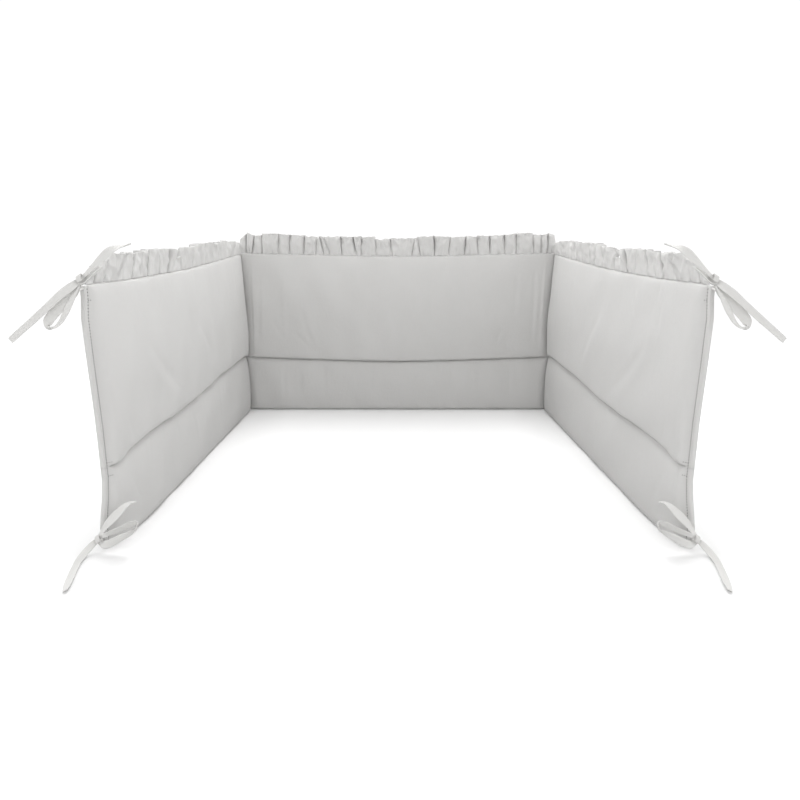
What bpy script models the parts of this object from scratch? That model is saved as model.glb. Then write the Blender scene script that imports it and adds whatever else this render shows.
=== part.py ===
"""Padded crib bumper that stands in a U round three sides of a cot.

Three padded panels, each sewn across by one channel, meet at upright corner seams. A gathered
ruffle stands along the top seam of each panel, and a fabric tie is knotted at the top and at the
bottom of each front end. +Z is up, +X is to the right, and the open side of the U faces -Y. The
origin is under the middle of the back panel, on the surface the bumper stands on.

All lengths are in metres. A distance called along runs from a corner seam along its panel, across
is sideways from the panel's middle plane (towards the inside of the U where positive), and up is
the height above the surface.
"""

from math import cos, pi, radians, sin, tan

import bpy
import numpy as np

# Driving dimensions
BACK_LENGTH = 0.600
SIDE_LENGTH = 0.600
SPLAY = radians(3.2)  # how far each side panel opens outwards
CROWN_BELOW = 0.012  # half the padding's thickness in the middle of the strip under the channel
CROWN_ABOVE = 0.014  # the same above the channel
EDGE = 0.0025  # half the thickness at a seam
FOOT = 0.005  # half the width of the flat underside
FLANGE = 0.012  # flat sewn border at a front end
RUFFLE_CLOTH = 0.0016
TIE_WIDTH = 0.0095
TIE_CLOTH = 0.0022
GAP = 0.0003  # between pieces that touch
FOOT_GAP = 0.00035  # the same under a ruffle, whose foot spans the panel's points as chords

# How the soft edges hang
CORNER_RISE = 0.045  # distance over which the padding fills out from a corner seam
FRONT_RISE = 0.040  # the same from a front end's stitch line
MITRE_REACH = 0.022  # how far the corner's mitre is carried into a panel
FLARE_REACH = 0.110  # length of the front end that its free shape bends
PILLOW_FLATNESS = 2.6  # a higher value gives the crown a flatter middle
PILLOW_STEEPNESS = 0.75  # a lower value gives it steeper sides
FOOT_WAVE = 0.0012  # sideways wave of a ruffle's gathered foot
TUCK = 0.0030  # how far a ruffle falls outwards between two folds
DIP = 0.0012  # how far its top edge dips between two folds
FOLD_ROUNDNESS = 0.7  # a lower value gives each fold a flatter top and steeper sides
CALM_REACH = 0.025  # stretch at each end over which a ruffle is held flat
CALM_THROW = 0.3  # share of a fold's sideways throw that is left at a ruffle's ends
END_HEIGHT = 0.8  # share of the last fold's height that is left where the ruffle ends
CORNER = (pi / 2 + SPLAY) / 2  # half the angle between the back panel and a side panel

COLUMNS = 22
ROWS_BELOW = 7
ROWS_ABOVE = 10
CROWDING = 0.65  # how much closer a panel's points lie near its seams
LOBE_STEPS = (0.0, 0.2, 0.5, 0.8)  # the points of one ruffle fold, as shares of its width
RISE_STEPS = (0.0, 0.3, 0.65, 1.0)  # the rows of a ruffle, as shares of its height

# The free front end of a side panel
END_COLUMNS = ("up", "forward", "outward")
END_SHAPE = (
    (0.000, 0.003, 0.009),
    (0.026, 0.003, 0.009),
    (0.042, 0.004, 0.006),
    (0.060, 0.003, 0.003),
    (0.085, 0.001, 0.001),
    (0.103, 0.001, 0.001),
    (0.150, 0.002, 0.000),
    (0.220, 0.003, 0.001),
    (0.270, 0.004, 0.001),
    (0.293, 0.001, 0.000),
    (0.305, 0.001, 0.000),
)

# The sewn lines of each panel: heights at shares of its length, from the corner
SEAM_COLUMNS = ("share", "top", "channel")
BACK_SEAMS = (
    (0.00, 0.305, 0.105),
    (0.20, 0.302, 0.101),
    (0.50, 0.300, 0.097),
    (0.80, 0.302, 0.101),
    (1.00, 0.305, 0.105),
)
SIDE_SEAMS = (
    (0.00, 0.305, 0.105),
    (0.20, 0.302, 0.104),
    (0.50, 0.299, 0.099),
    (0.76, 0.301, 0.101),
    (0.95, 0.305, 0.094),
    (1.00, 0.305, 0.096),
)

# Ruffle folds: where each begins along its panel, how far it stands inwards, how high its top
# edge reaches above the seam and how far that edge leans along the panel
FOLD_COLUMNS = ("start", "across", "up", "lean")
BACK_FOLDS = (
    (0.005, 0.003, 0.031, 0.001),
    (0.024, 0.004, 0.032, 0.003),
    (0.041, 0.008, 0.036, 0.000),
    (0.071, 0.006, 0.036, 0.001),
    (0.092, 0.007, 0.034, 0.000),
    (0.122, 0.006, 0.033, 0.001),
    (0.148, 0.007, 0.033, -0.002),
    (0.180, 0.005, 0.033, 0.002),
    (0.205, 0.006, 0.034, 0.000),
    (0.230, 0.008, 0.035, 0.004),
    (0.256, 0.004, 0.028, 0.002),
    (0.288, 0.006, 0.029, -0.002),
    (0.334, 0.008, 0.033, -0.003),
    (0.370, 0.006, 0.032, 0.000),
    (0.398, 0.007, 0.033, 0.003),
    (0.452, 0.006, 0.034, -0.001),
    (0.480, 0.005, 0.034, 0.000),
    (0.504, 0.006, 0.035, 0.000),
    (0.526, 0.008, 0.036, 0.000),
    (0.556, 0.005, 0.033, -0.003),
    (0.573, 0.003, 0.032, -0.001),
)
SIDE_FOLDS = (
    (0.005, 0.001, 0.024, 0.001),
    (0.048, 0.004, 0.030, 0.002),
    (0.090, 0.005, 0.031, 0.000),
    (0.130, 0.004, 0.030, -0.003),
    (0.155, 0.007, 0.031, -0.004),
    (0.207, 0.005, 0.031, -0.003),
    (0.233, 0.008, 0.032, 0.000),
    (0.278, 0.006, 0.031, 0.002),
    (0.316, -0.001, 0.018, 0.000),
    (0.336, 0.009, 0.029, -0.007),
    (0.378, 0.007, 0.032, -0.004),
    (0.412, 0.009, 0.032, -0.006),
    (0.448, 0.005, 0.029, -0.002),
    (0.474, 0.003, 0.025, 0.002),
    (0.500, 0.007, 0.032, 0.003),
    (0.538, 0.006, 0.026, 0.000),
    (0.566, 0.003, 0.015, -0.003),
)
RUFFLE_END = 0.595

# Ties of the left front end, as the middle line of a flat strip and the direction of its width
STRIP_COLUMNS = ("x", "y", "z", "width_x", "width_y", "width_z")
TOP_KNOT = (-0.3315, -0.6125, 0.3120)
TOP_LONG_TAIL = (
    (-0.3300, -0.6120, 0.3135, 0.55, -0.30, -0.75),
    (-0.3390, -0.6140, 0.3055, 0.50, -0.20, -0.80),
    (-0.3545, -0.6150, 0.2945, 0.55, -0.30, -0.75),
    (-0.3740, -0.6150, 0.2795, 0.60, -0.35, -0.72),
    (-0.3910, -0.6140, 0.2645, 0.62, -0.30, -0.74),
    (-0.4110, -0.6130, 0.2485, 0.62, -0.25, -0.76),
)
TOP_SHORT_TAIL = (
    (-0.3330, -0.6135, 0.3105, 0.70, -0.50, -0.50),
    (-0.3225, -0.6125, 0.3195, 0.70, -0.35, -0.60),
    (-0.3135, -0.6110, 0.3270, 0.70, -0.25, -0.68),
    (-0.3000, -0.6080, 0.3395, 0.62, -0.35, -0.70),
    (-0.2930, -0.6050, 0.3445, 0.40, -0.60, -0.65),
    (-0.2855, -0.6020, 0.3470, 0.15, -0.90, -0.40),
    (-0.2780, -0.5990, 0.3490, 0.05, -0.98, -0.15),
)
TOP_LOOP = (
    (-0.3330, -0.6120, 0.3105, -0.40, -0.85, 0.20),
    (-0.3415, -0.6110, 0.3005, -0.40, -0.85, 0.20),
    (-0.3560, -0.6105, 0.2885, -0.40, -0.85, 0.20),
    (-0.3675, -0.6105, 0.2775, -0.40, -0.88, 0.15),
    (-0.3720, -0.6110, 0.2700, -0.45, -0.88, 0.05),
    (-0.3695, -0.6115, 0.2635, -0.45, -0.88, -0.05),
    (-0.3630, -0.6115, 0.2640, -0.42, -0.88, 0.05),
    (-0.3550, -0.6110, 0.2710, -0.40, -0.88, 0.10),
    (-0.3470, -0.6110, 0.2825, -0.40, -0.88, 0.10),
    (-0.3390, -0.6115, 0.2950, -0.40, -0.88, 0.15),
    (-0.3300, -0.6125, 0.3090, -0.40, -0.85, 0.20),
)
BOTTOM_KNOT = (-0.3455, -0.6110, 0.0165)
BOTTOM_LONG_TAIL = (
    (-0.3440, -0.6100, 0.0180, 0.70, 0.10, 0.30),
    (-0.3530, -0.6140, 0.0090, 0.75, 0.40, 0.10),
    (-0.3580, -0.6230, 0.0026, 0.90, 0.30, 0.00),
    (-0.3575, -0.6400, 0.0014, 1.00, -0.10, 0.00),
    (-0.3545, -0.6610, 0.0014, 1.00, -0.20, 0.00),
    (-0.3490, -0.6790, 0.0014, 1.00, -0.32, 0.00),
    (-0.3415, -0.7000, 0.0014, 1.00, -0.38, 0.00),
)
BOTTOM_SHORT_TAIL = (
    (-0.3465, -0.6115, 0.0150, 0.80, -0.30, -0.40),
    (-0.3390, -0.6125, 0.0260, 0.75, -0.30, -0.50),
    (-0.3300, -0.6135, 0.0370, 0.72, -0.25, -0.60),
    (-0.3180, -0.6130, 0.0485, 0.62, -0.35, -0.65),
    (-0.3060, -0.6120, 0.0590, 0.45, -0.55, -0.65),
    (-0.2970, -0.6110, 0.0635, 0.15, -0.80, -0.55),
)
BOTTOM_LOOP = (
    (-0.3440, -0.6110, 0.0190, 0.05, -0.75, 0.65),
    (-0.3290, -0.6145, 0.0265, 0.05, -0.75, 0.65),
    (-0.3165, -0.6165, 0.0315, 0.05, -0.75, 0.65),
    (-0.3065, -0.6175, 0.0360, 0.05, -0.80, 0.60),
    (-0.2995, -0.6175, 0.0375, 0.00, -0.85, 0.50),
    (-0.2985, -0.6175, 0.0320, 0.00, -0.90, 0.40),
    (-0.3055, -0.6170, 0.0245, -0.05, -0.85, 0.50),
    (-0.3190, -0.6165, 0.0180, -0.05, -0.80, 0.60),
    (-0.3330, -0.6145, 0.0125, -0.05, -0.80, 0.60),
    (-0.3440, -0.6110, 0.0135, -0.05, -0.75, 0.65),
)
TAIL_STEPS = 10
LOOP_STEPS = 20
ROOT_STEPS = 7
KNOT_HALF = (0.0062, 0.0050, 0.0052)
KNOT_RINGS = 6
KNOT_SECTORS = 10
KNOT_TURN = radians(42)  # the knot's long side lies across the tails
TOP_ROOT_UP = 0.302  # where the seam of a front end holds its two ties
BOTTOM_ROOT_UP = 0.014
ROOT_WIDTH = 0.005
ROOT_CLOTH = 0.003
ROOT_LENGTH = 0.005  # straight stretch that leaves the seam

PANEL_COLOUR = (0.60, 0.59, 0.58, 1.0)
RUFFLE_COLOUR = (0.64, 0.63, 0.62, 1.0)
TIE_COLOUR = (0.74, 0.73, 0.71, 1.0)
CLOTH_ROUGHNESS = 0.9


def clear_scene():
    for obj in list(bpy.data.objects):
        bpy.data.objects.remove(obj, do_unlink=True)


def cloth_material(name, colour):
    material = bpy.data.materials.new(name)
    material.use_nodes = True
    shader = material.node_tree.nodes["Principled BSDF"]
    shader.inputs["Base Color"].default_value = colour
    shader.inputs["Roughness"].default_value = CLOTH_ROUGHNESS
    shader.inputs["Metallic"].default_value = 0.0
    return material


def column(rows, names, name):
    """One named column of a table."""
    return np.array([row[names.index(name)] for row in rows])


def smooth_read(at, rows, wanted):
    """Rows read at any places from a smooth curve through them, a cubic between each two rows."""
    slopes = np.gradient(rows, at, axis=0)
    span = np.clip(np.searchsorted(at, wanted, side="right") - 1, 0, len(at) - 2)
    width = (at[span + 1] - at[span])[..., None]
    t = (wanted - at[span])[..., None] / width
    return (
        (1 + 2 * t) * (1 - t) ** 2 * rows[span]
        + t * (1 - t) ** 2 * width * slopes[span]
        + t * t * (3 - 2 * t) * rows[span + 1]
        + t * t * (t - 1) * width * slopes[span + 1]
    )


def new_object(name, points, faces, material):
    mesh = bpy.data.meshes.new(name)
    mesh.from_pydata(points.tolist(), [], faces)
    mesh.update()
    mesh.shade_smooth()
    mesh.materials.append(material)
    obj = bpy.data.objects.new(name, mesh)
    bpy.context.scene.collection.objects.link(obj)
    return obj


class Panel:
    """The middle plane of one padded panel, and the heights of its seams."""

    def __init__(self, name, corner, along, across, length, free_end):
        self.name = name
        self.corner = np.array(corner)
        self.along = np.array(along)
        self.across = np.array(across)
        self.length = length
        self.free_end = free_end
        # Whether along, across and up turn the right-handed way, which decides the faces' order
        self.right_handed = along[0] * across[1] - along[1] * across[0] > 0

    def seam(self, name, along):
        """Height of the top seam or of the channel."""
        rows = SIDE_SEAMS if self.free_end else BACK_SEAMS
        shares = column(rows, SEAM_COLUMNS, "share")
        heights = column(rows, SEAM_COLUMNS, name)
        return smooth_read(shares, heights[:, None], along / self.length)[..., 0]

    def free_shape(self, along, up):
        """How far the free front end reaches forward and bends outwards."""
        if not self.free_end:
            return np.zeros_like(up), np.zeros_like(up)
        share = np.clip((along - self.length + FLARE_REACH) / FLARE_REACH, 0, 1) ** 2
        levels = column(END_SHAPE, END_COLUMNS, "up")
        forward = np.interp(up, levels, column(END_SHAPE, END_COLUMNS, "forward"))
        outward = np.interp(up, levels, column(END_SHAPE, END_COLUMNS, "outward"))
        return share * forward, share * outward

    def place(self, along, across, up):
        """World points from distances along and across the panel and heights."""
        plan = self.corner + along[..., None] * self.along + across[..., None] * self.across
        return np.concatenate([plan, up[..., None]], axis=-1)


def panels():
    half = BACK_LENGTH / 2
    leg = (sin(SPLAY), cos(SPLAY))
    return (
        Panel("back", (-half, 0), (1, 0), (0, -1), BACK_LENGTH, False),
        Panel("left", (-half, 0), (-leg[0], -leg[1]), (leg[1], -leg[0]), SIDE_LENGTH, True),
        Panel("right", (half, 0), (leg[0], -leg[1]), (-leg[1], -leg[0]), SIDE_LENGTH, True),
    )


def rise(distance, reach):
    """0 at a seam and 1 past reach, as a quarter of a sine."""
    return np.sin(pi / 2 * np.clip(distance / reach, 0, 1))


def pillow(share):
    """Crown of a filled strip across its width: steep at the seams and flat in the middle."""
    return np.clip(1 - np.abs(2 * share - 1) ** PILLOW_FLATNESS, 0, 1) ** PILLOW_STEEPNESS


def closing_faces(rows, columns, flip):
    """Quads of a closed sheet: its front grid, its back grid and the rim that joins them."""
    index = np.arange(2 * rows * columns).reshape(2, rows, columns)

    def grid(at):
        return np.stack([at[:-1, :-1], at[:-1, 1:], at[1:, 1:], at[1:, :-1]], -1).reshape(-1, 4)

    front, back = index
    strips = (
        np.stack([back[0], front[0]]),
        np.stack([front[-1], back[-1]]),
        np.stack([front[:, 0], back[:, 0]]),
        np.stack([back[:, -1], front[:, -1]]),
    )
    faces = np.concatenate([grid(front), grid(back)[:, ::-1], *[grid(strip) for strip in strips]])
    return (faces[:, ::-1] if flip else faces).tolist()


def spread(count):
    """Shares from 0 to 1 that lie closer together near both ends."""
    even = np.linspace(0, 1, count + 1)
    return (1 - CROWDING) * even + CROWDING * (1 - np.cos(pi * even)) / 2


def padded_panel(panel, material):
    """Two crowned faces over the panel's middle plane, drawn together at the seams."""
    along = spread(COLUMNS) * panel.length
    below = spread(ROWS_BELOW)[:-1]
    above = spread(ROWS_ABOVE)
    channel = panel.seam("channel", along)
    low = np.outer(below, channel)
    high = channel + np.outer(above, panel.seam("top", along) - channel)
    up = np.concatenate([low, high])
    along = np.broadcast_to(along, up.shape)

    fullness = rise(along, CORNER_RISE)
    if panel.free_end:
        fullness = fullness * rise(panel.length - FLANGE - along, FRONT_RISE)
    else:
        fullness = fullness * rise(panel.length - along, CORNER_RISE)
    crown = np.concatenate([CROWN_BELOW * pillow(below), CROWN_ABOVE * pillow(above)])[:, None]
    half = EDGE + (crown - EDGE).clip(0) * fullness
    half[0] = EDGE + (FOOT - EDGE) * fullness[0]

    forward, outward = panel.free_shape(along, up)
    near_start = np.clip(1 - along / MITRE_REACH, 0, 1)
    near_end = np.clip(1 - (panel.length - along) / MITRE_REACH, 0, 1) * (not panel.free_end)
    sides = []
    for side in (1, -1):
        inset = side * half / tan(CORNER) + GAP / 2 / sin(CORNER)
        mitred = along + forward + inset * near_start - inset * near_end
        sides.append(panel.place(mitred, side * half - outward, up))
    points = np.stack(sides)
    faces = closing_faces(up.shape[0], up.shape[1], panel.right_handed)
    return new_object(panel.name + "_panel", points.reshape(-1, 3), faces, material)


def fold_profile(rows, end):
    """Where a ruffle's columns lie along its panel, and their sideways throw, height and lean."""
    starts = np.append(column(rows, FOLD_COLUMNS, "start"), end)
    steps = np.array(LOBE_STEPS)
    along = (starts[:-1, None] + np.diff(starts)[:, None] * steps).ravel()
    ridge = np.sin(pi * steps) ** FOLD_ROUNDNESS

    def between(name, valley):
        return (valley + (column(rows, FOLD_COLUMNS, name) - valley)[:, None] * ridge).ravel()

    heights = column(rows, FOLD_COLUMNS, "up")
    lower = np.minimum(heights, np.roll(heights, 1)) - DIP
    up = (lower[:, None] + (heights - lower)[:, None] * ridge).ravel()
    return (
        np.append(along, end),
        np.append(between("across", -TUCK), 0.0),
        np.append(up, heights[-1] * END_HEIGHT),
        np.append(between("lean", 0.0), 0.0),
    )


def ruffle(panel, rows, end, material):
    """A wavy sheet on the panel's top seam: nearly straight at its foot, full at its top edge."""
    start, across, height, lean = fold_profile(rows, end)
    rise_by = np.array(RISE_STEPS)[:, None]
    free = np.minimum(1, np.minimum(start - start[0], start[-1] - start) / CALM_REACH)
    foot = FOOT_WAVE * np.where(across > 0, 1, -1) * free
    throw = foot * (1 - rise_by) + across * (CALM_THROW + (1 - CALM_THROW) * free) * rise_by
    along = start + lean * rise_by
    up = panel.seam("top", start) + FOOT_GAP + height * rise_by

    step_along = np.gradient(along, axis=1)
    step_across = np.gradient(throw, axis=1)
    size = np.hypot(step_along, step_across)
    half = RUFFLE_CLOTH / 2
    sides = []
    for side in (1, -1):
        sides.append(
            panel.place(
                along - side * half * step_across / size,
                throw + side * half * step_along / size,
                up,
            )
        )
    points = np.stack(sides)
    faces = closing_faces(up.shape[0], up.shape[1], panel.right_handed)
    return new_object(panel.name + "_ruffle", points.reshape(-1, 3), faces, material)


def smooth_path(rows, count):
    """Points and width directions read evenly from a curve through the rows of a strip table."""
    knots = np.array(rows)
    gaps = np.linalg.norm(np.diff(knots[:, :3], axis=0), axis=1)
    at = np.concatenate([[0], np.cumsum(gaps)])
    curve = smooth_read(at, knots, np.linspace(0, at[-1], count + 1))
    return curve[:, :3], curve[:, 3:]


def strip(name, rows, count, width, cloth, mirror, material):
    """A flat strip of cloth along a path, with a rectangular section."""
    points, wide = smooth_path(rows, count)
    tangent = np.gradient(points, axis=0)
    tangent /= np.linalg.norm(tangent, axis=1, keepdims=True)
    wide = wide - (wide * tangent).sum(axis=1, keepdims=True) * tangent
    wide /= np.linalg.norm(wide, axis=1, keepdims=True)
    thick = np.cross(tangent, wide)
    corners = ((1, 1), (-1, 1), (-1, -1), (1, -1))
    ring = np.stack(
        [points + a * width / 2 * wide + b * cloth / 2 * thick for a, b in corners], axis=1
    )
    ring[..., 0] *= mirror
    index = np.arange(ring.shape[0] * 4).reshape(-1, 4)
    after = np.roll(index, -1, axis=1)
    sides = np.stack([index[:-1], after[:-1], after[1:], index[1:]], -1).reshape(-1, 4)
    faces = np.concatenate([sides, index[:1, ::-1], index[-1:]])
    if mirror < 0:
        faces = faces[:, ::-1]
    return new_object(name, ring.reshape(-1, 3), faces.tolist(), material)


def knot(name, centre, mirror, material):
    """The pulled knot: a small rounded lump."""
    polar = np.linspace(0, pi, KNOT_RINGS + 1)[1:-1, None]
    turn = np.linspace(0, 2 * pi, KNOT_SECTORS, endpoint=False)
    round_x = np.sin(polar) * np.cos(turn) * KNOT_HALF[0]
    round_y = np.sin(polar) * np.sin(turn) * KNOT_HALF[1]
    round_z = np.broadcast_to(np.cos(polar) * KNOT_HALF[2], round_x.shape)
    ball = np.stack([round_x, round_y, round_z], -1).reshape(-1, 3)
    ball = np.concatenate([ball, [[0, 0, KNOT_HALF[2]], [0, 0, -KNOT_HALF[2]]]])
    c, s = cos(KNOT_TURN), sin(KNOT_TURN)
    points = ball @ np.array([[c, 0, s], [0, 1, 0], [-s, 0, c]]) + np.array(centre)
    points[:, 0] *= mirror
    index = np.arange((KNOT_RINGS - 1) * KNOT_SECTORS).reshape(-1, KNOT_SECTORS)
    after = np.roll(index, -1, axis=1)
    faces = np.stack([index[:-1], index[1:], after[1:], after[:-1]], -1).reshape(-1, 4).tolist()
    top, bottom = len(ball) - 2, len(ball) - 1
    faces += [[top, a, b] for a, b in zip(index[0], after[0])]
    faces += [[bottom, b, a] for a, b in zip(index[-1], after[-1])]
    if mirror < 0:
        faces = [face[::-1] for face in faces]
    return new_object(name, points, faces, material)


def root_rows(panel, up, centre):
    """Strip rows from the seam of the free front end, straight out of it and into the knot."""
    end = np.array(panel.length)
    forward, outward = panel.free_shape(end, np.array(up))
    straight = GAP + np.linspace(0, ROOT_LENGTH, 3)
    seam = [panel.place(end + forward + out, -outward, np.array(up)) for out in straight]
    return tuple((*point, 0, 0, 1) for point in (*seam, centre))


def tie(name, centre, root, tails, loop, mirror, material):
    """One knotted tie: the knot, its two tails, its loop and the root that the seam holds."""
    body = knot(name, centre, mirror, material)
    parts = [strip(name + "_root", root, ROOT_STEPS, ROOT_WIDTH, ROOT_CLOTH, mirror, material)]
    parts.append(strip(name + "_loop", loop, LOOP_STEPS, TIE_WIDTH, TIE_CLOTH, mirror, material))
    for number, rows in enumerate(tails):
        parts.append(
            strip(f"{name}_tail{number}", rows, TAIL_STEPS, TIE_WIDTH, TIE_CLOTH, mirror, material)
        )
    for part in parts:
        part.hide_render = True
        part.display_type = "WIRE"
        union = body.modifiers.new(part.name, "BOOLEAN")
        union.operation = "UNION"
        union.solver = "MANIFOLD"
        union.object = part
    return body


def main():
    clear_scene()
    panel_cloth = cloth_material("panel_cotton", PANEL_COLOUR)
    ruffle_cloth = cloth_material("ruffle_cotton", RUFFLE_COLOUR)
    tie_cloth = cloth_material("tie_cotton", TIE_COLOUR)
    made = {panel.name: panel for panel in panels()}
    for panel in made.values():
        padded_panel(panel, panel_cloth)
        folds = SIDE_FOLDS if panel.free_end else BACK_FOLDS
        ruffle(panel, folds, RUFFLE_END, ruffle_cloth)
    top_root = root_rows(made["left"], TOP_ROOT_UP, TOP_KNOT)
    bottom_root = root_rows(made["left"], BOTTOM_ROOT_UP, BOTTOM_KNOT)
    top_tails = (TOP_LONG_TAIL, TOP_SHORT_TAIL)
    bottom_tails = (BOTTOM_LONG_TAIL, BOTTOM_SHORT_TAIL)
    for side, mirror in (("left", 1), ("right", -1)):
        tie(side + "_top_tie", TOP_KNOT, top_root, top_tails, TOP_LOOP, mirror, tie_cloth)
        tie(
            side + "_bottom_tie", BOTTOM_KNOT, bottom_root, bottom_tails, BOTTOM_LOOP,
            mirror, tie_cloth,
        )


main()
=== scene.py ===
from math import ceil, cos, pi, radians, sin, tan

import bpy
import numpy as np
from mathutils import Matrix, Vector


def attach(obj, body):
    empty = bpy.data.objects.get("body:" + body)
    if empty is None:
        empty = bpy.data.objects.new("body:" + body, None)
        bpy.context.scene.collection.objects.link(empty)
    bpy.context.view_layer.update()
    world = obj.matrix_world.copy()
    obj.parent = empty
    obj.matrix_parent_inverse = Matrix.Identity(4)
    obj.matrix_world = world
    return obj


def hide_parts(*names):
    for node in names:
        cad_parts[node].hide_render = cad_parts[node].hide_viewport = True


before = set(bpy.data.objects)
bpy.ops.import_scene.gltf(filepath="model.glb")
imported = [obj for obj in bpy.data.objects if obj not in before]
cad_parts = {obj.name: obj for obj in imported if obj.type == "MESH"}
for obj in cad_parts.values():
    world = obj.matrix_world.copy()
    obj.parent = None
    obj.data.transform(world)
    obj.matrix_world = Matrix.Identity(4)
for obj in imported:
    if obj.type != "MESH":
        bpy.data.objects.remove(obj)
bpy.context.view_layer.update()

# Padded crib bumper in a U: three quilted panels, a gathered frill along each, four knotted ties.
# Metres, but for the rows of the tables, which are in millimetres. Along runs from a corner seam,
# across is sideways from a panel's middle plane, towards the inside of the U where positive, and up
# is the height above the floor.


# Shader maths: an expression on wires adds its nodes

class Wire:
    def __init__(self, tree, socket):
        self.tree, self.socket = tree, socket

    def maths(self, operation, *values):
        return addNode(self.tree, "ShaderNodeMath", {"operation": operation}, values)

    def __add__(self, other):
        return self.maths("ADD", self, other)

    __radd__ = __add__

    def __sub__(self, other):
        return self.maths("SUBTRACT", self, other)

    def __rsub__(self, other):
        return self.maths("SUBTRACT", other, self)

    def __mul__(self, other):
        return self.maths("MULTIPLY", self, other)

    __rmul__ = __mul__

    def __abs__(self):
        return self.maths("ABSOLUTE", self)

    def sine(self):
        return self.maths("SINE", self)

    def part(self, name):
        return addNode(self.tree, "ShaderNodeSeparateXYZ", {}, {"Vector": self}, name)


def assign(target, settings):
    for name, value in settings.items():
        setattr(target, name, value)
    return target


def setSockets(tree, node, sockets):
    # values or wires, by the sockets' places or names
    pairs = sockets.items() if isinstance(sockets, dict) else enumerate(sockets)
    for name, value in pairs:
        if isinstance(value, Wire):
            tree.links.new(value.socket, node.inputs[name])
        else:
            node.inputs[name].default_value = value


def addNode(tree, kind, settings, sockets, output=0):
    node = assign(tree.nodes.new(kind), settings)
    setSockets(tree, node, sockets)
    return Wire(tree, node.outputs[output])


cottonWeave = {
    "threadPitch": 0.00046,  # one thread of the plain weave
    "threadDepth": 0.00010,
    "crumpleSize": 0.0065,  # soft dents of washed cotton
    "crumpleDepth": 0.00028,
    "puckerSize": 0.0030,  # fine gathers hanging from the seams
    "puckerDepth": 0.0006,
    "slub": 0.035,  # how much a thick thread shows
    "cloud": 0.02,  # slow unevenness of the dye
    # gapShade: painted shade in the pits between the threads
    "gapShade": 0.10,  # darker pits between threads
    "roughness": (0.86, 0.96),
    "finish": {"Sheen Weight": 0.12, "Sheen Roughness": 0.5, "Specular IOR Level": 0.25},
}
# The ties' strips are pressed flat
pressedWeave = {**cottonWeave, "threadDepth": 0.00004, "crumpleDepth": 0.00010, "puckerDepth": 0}


def newMaterial(name):
    material = bpy.data.materials.new(name)
    material.use_nodes = True
    return material, material.node_tree


def dress(tree, colour, share, height, strength, finish):
    # a share of the colour over black, bumps of the given height, and the finish
    tint = addNode(tree, "ShaderNodeMix", {"data_type": "RGBA", "clamp_factor": False},
                   {0: share, 6: (0.0, 0.0, 0.0, 1.0), 7: (*colour, 1.0)}, 2)
    bump = addNode(tree, "ShaderNodeBump", {},
                   {"Strength": strength, "Distance": 1.0, "Height": height})
    setSockets(tree, tree.nodes["Principled BSDF"],
               {"Base Color": tint, "Normal": bump, **finish})


def cottonMaterial(name, colour, weave):
    # plain weave on the piece's own map, in metres: warp |sin(pi u/p)| and weft |sin(pi v/p)|
    # take turns on top, as the product of their sines changes sign from cell to cell
    material, tree = newMaterial(name)
    cloth = addNode(tree, "ShaderNodeUVMap", {"uv_map": "cloth"}, {})
    place = addNode(tree, "ShaderNodeTexCoord", {}, {}, "Object")
    u, v = cloth.part("X"), cloth.part("Y")
    pitch = weave["threadPitch"]
    warp, weft = (u * (pi / pitch)).sine(), (v * (pi / pitch)).sine()
    over = 0.5 + 0.5 * (warp * weft)
    threads = abs(warp) * over + abs(weft) * (1 - over)

    def noise(vector, scale, detail, stretch=(1, 1, 1)):
        scaled = addNode(tree, "ShaderNodeVectorMath", {"operation": "MULTIPLY"}, [vector, stretch])
        return addNode(tree, "ShaderNodeTexNoise", {"noise_dimensions": "3D"},
                       {"Vector": scaled, "Scale": scale, "Detail": detail}, "Fac")

    slubWarp = noise(cloth, 1.0, 1.0, (1300, 45, 1))
    slubWeft = noise(cloth, 1.0, 1.0, (45, 1300, 1))
    cloud = noise(place, 14.0, 3.0)
    crumple = noise(place, 1 / weave["crumpleSize"], 2.5)
    shade = (
        1.0
        + weave["slub"] * (slubWarp + slubWeft - 1.0)
        + weave["cloud"] * (2 * cloud - 1.0)
        - weave["gapShade"] * (1 - threads)
    )
    height = threads * weave["threadDepth"] + crumple * weave["crumpleDepth"]
    if weave["puckerDepth"]:
        near = addNode(tree, "ShaderNodeAttribute", {"attribute_name": "seam"}, {}, "Fac")
        gathers = noise(cloth, 1 / weave["puckerSize"], 1.0, (1, 0.16, 1))
        height = height + gathers * near * weave["puckerDepth"]
    # the shade marks darken the colour: painted shade in creases, seams and round the knots
    hollow = addNode(tree, "ShaderNodeAttribute", {"attribute_name": "shade"}, {}, "Fac")
    low, high = weave["roughness"]
    rough = low + (high - low) * slubWarp
    dress(tree, colour, shade * (1 - hollow), height, 1.0, {"Roughness": rough, **weave["finish"]})
    return material


def threadMaterial(name, colour):
    # sewing thread: fine slanted ply along its own map
    material, tree = newMaterial(name)
    cloth = addNode(tree, "ShaderNodeUVMap", {"uv_map": "cloth"}, {})
    ply = (cloth.part("X") * 9000 + cloth.part("Y") * 5000).sine()
    dress(tree, colour, 0.85 + 0.15 * ply, ply * 0.00003, 0.6, {"Roughness": 0.7})
    return material


# The frill's and the ties' cotton are the panels' cloth made lighter: painted light
panelCotton = cottonMaterial("panelCotton", (0.62, 0.615, 0.605), cottonWeave)
ruffleCotton = cottonMaterial("ruffleCotton", (0.64, 0.635, 0.625), cottonWeave)
tieCotton = cottonMaterial("tieCotton", (0.67, 0.665, 0.65), pressedWeave)
# the thread is set far darker than the cloth: painted shade of the stitch holes
seamThread = threadMaterial("seamThread", (0.15, 0.147, 0.143))
print("materials ready")


# Meshes: rings of points carried along a piece, closed round each ring and capped at both ends

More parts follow.
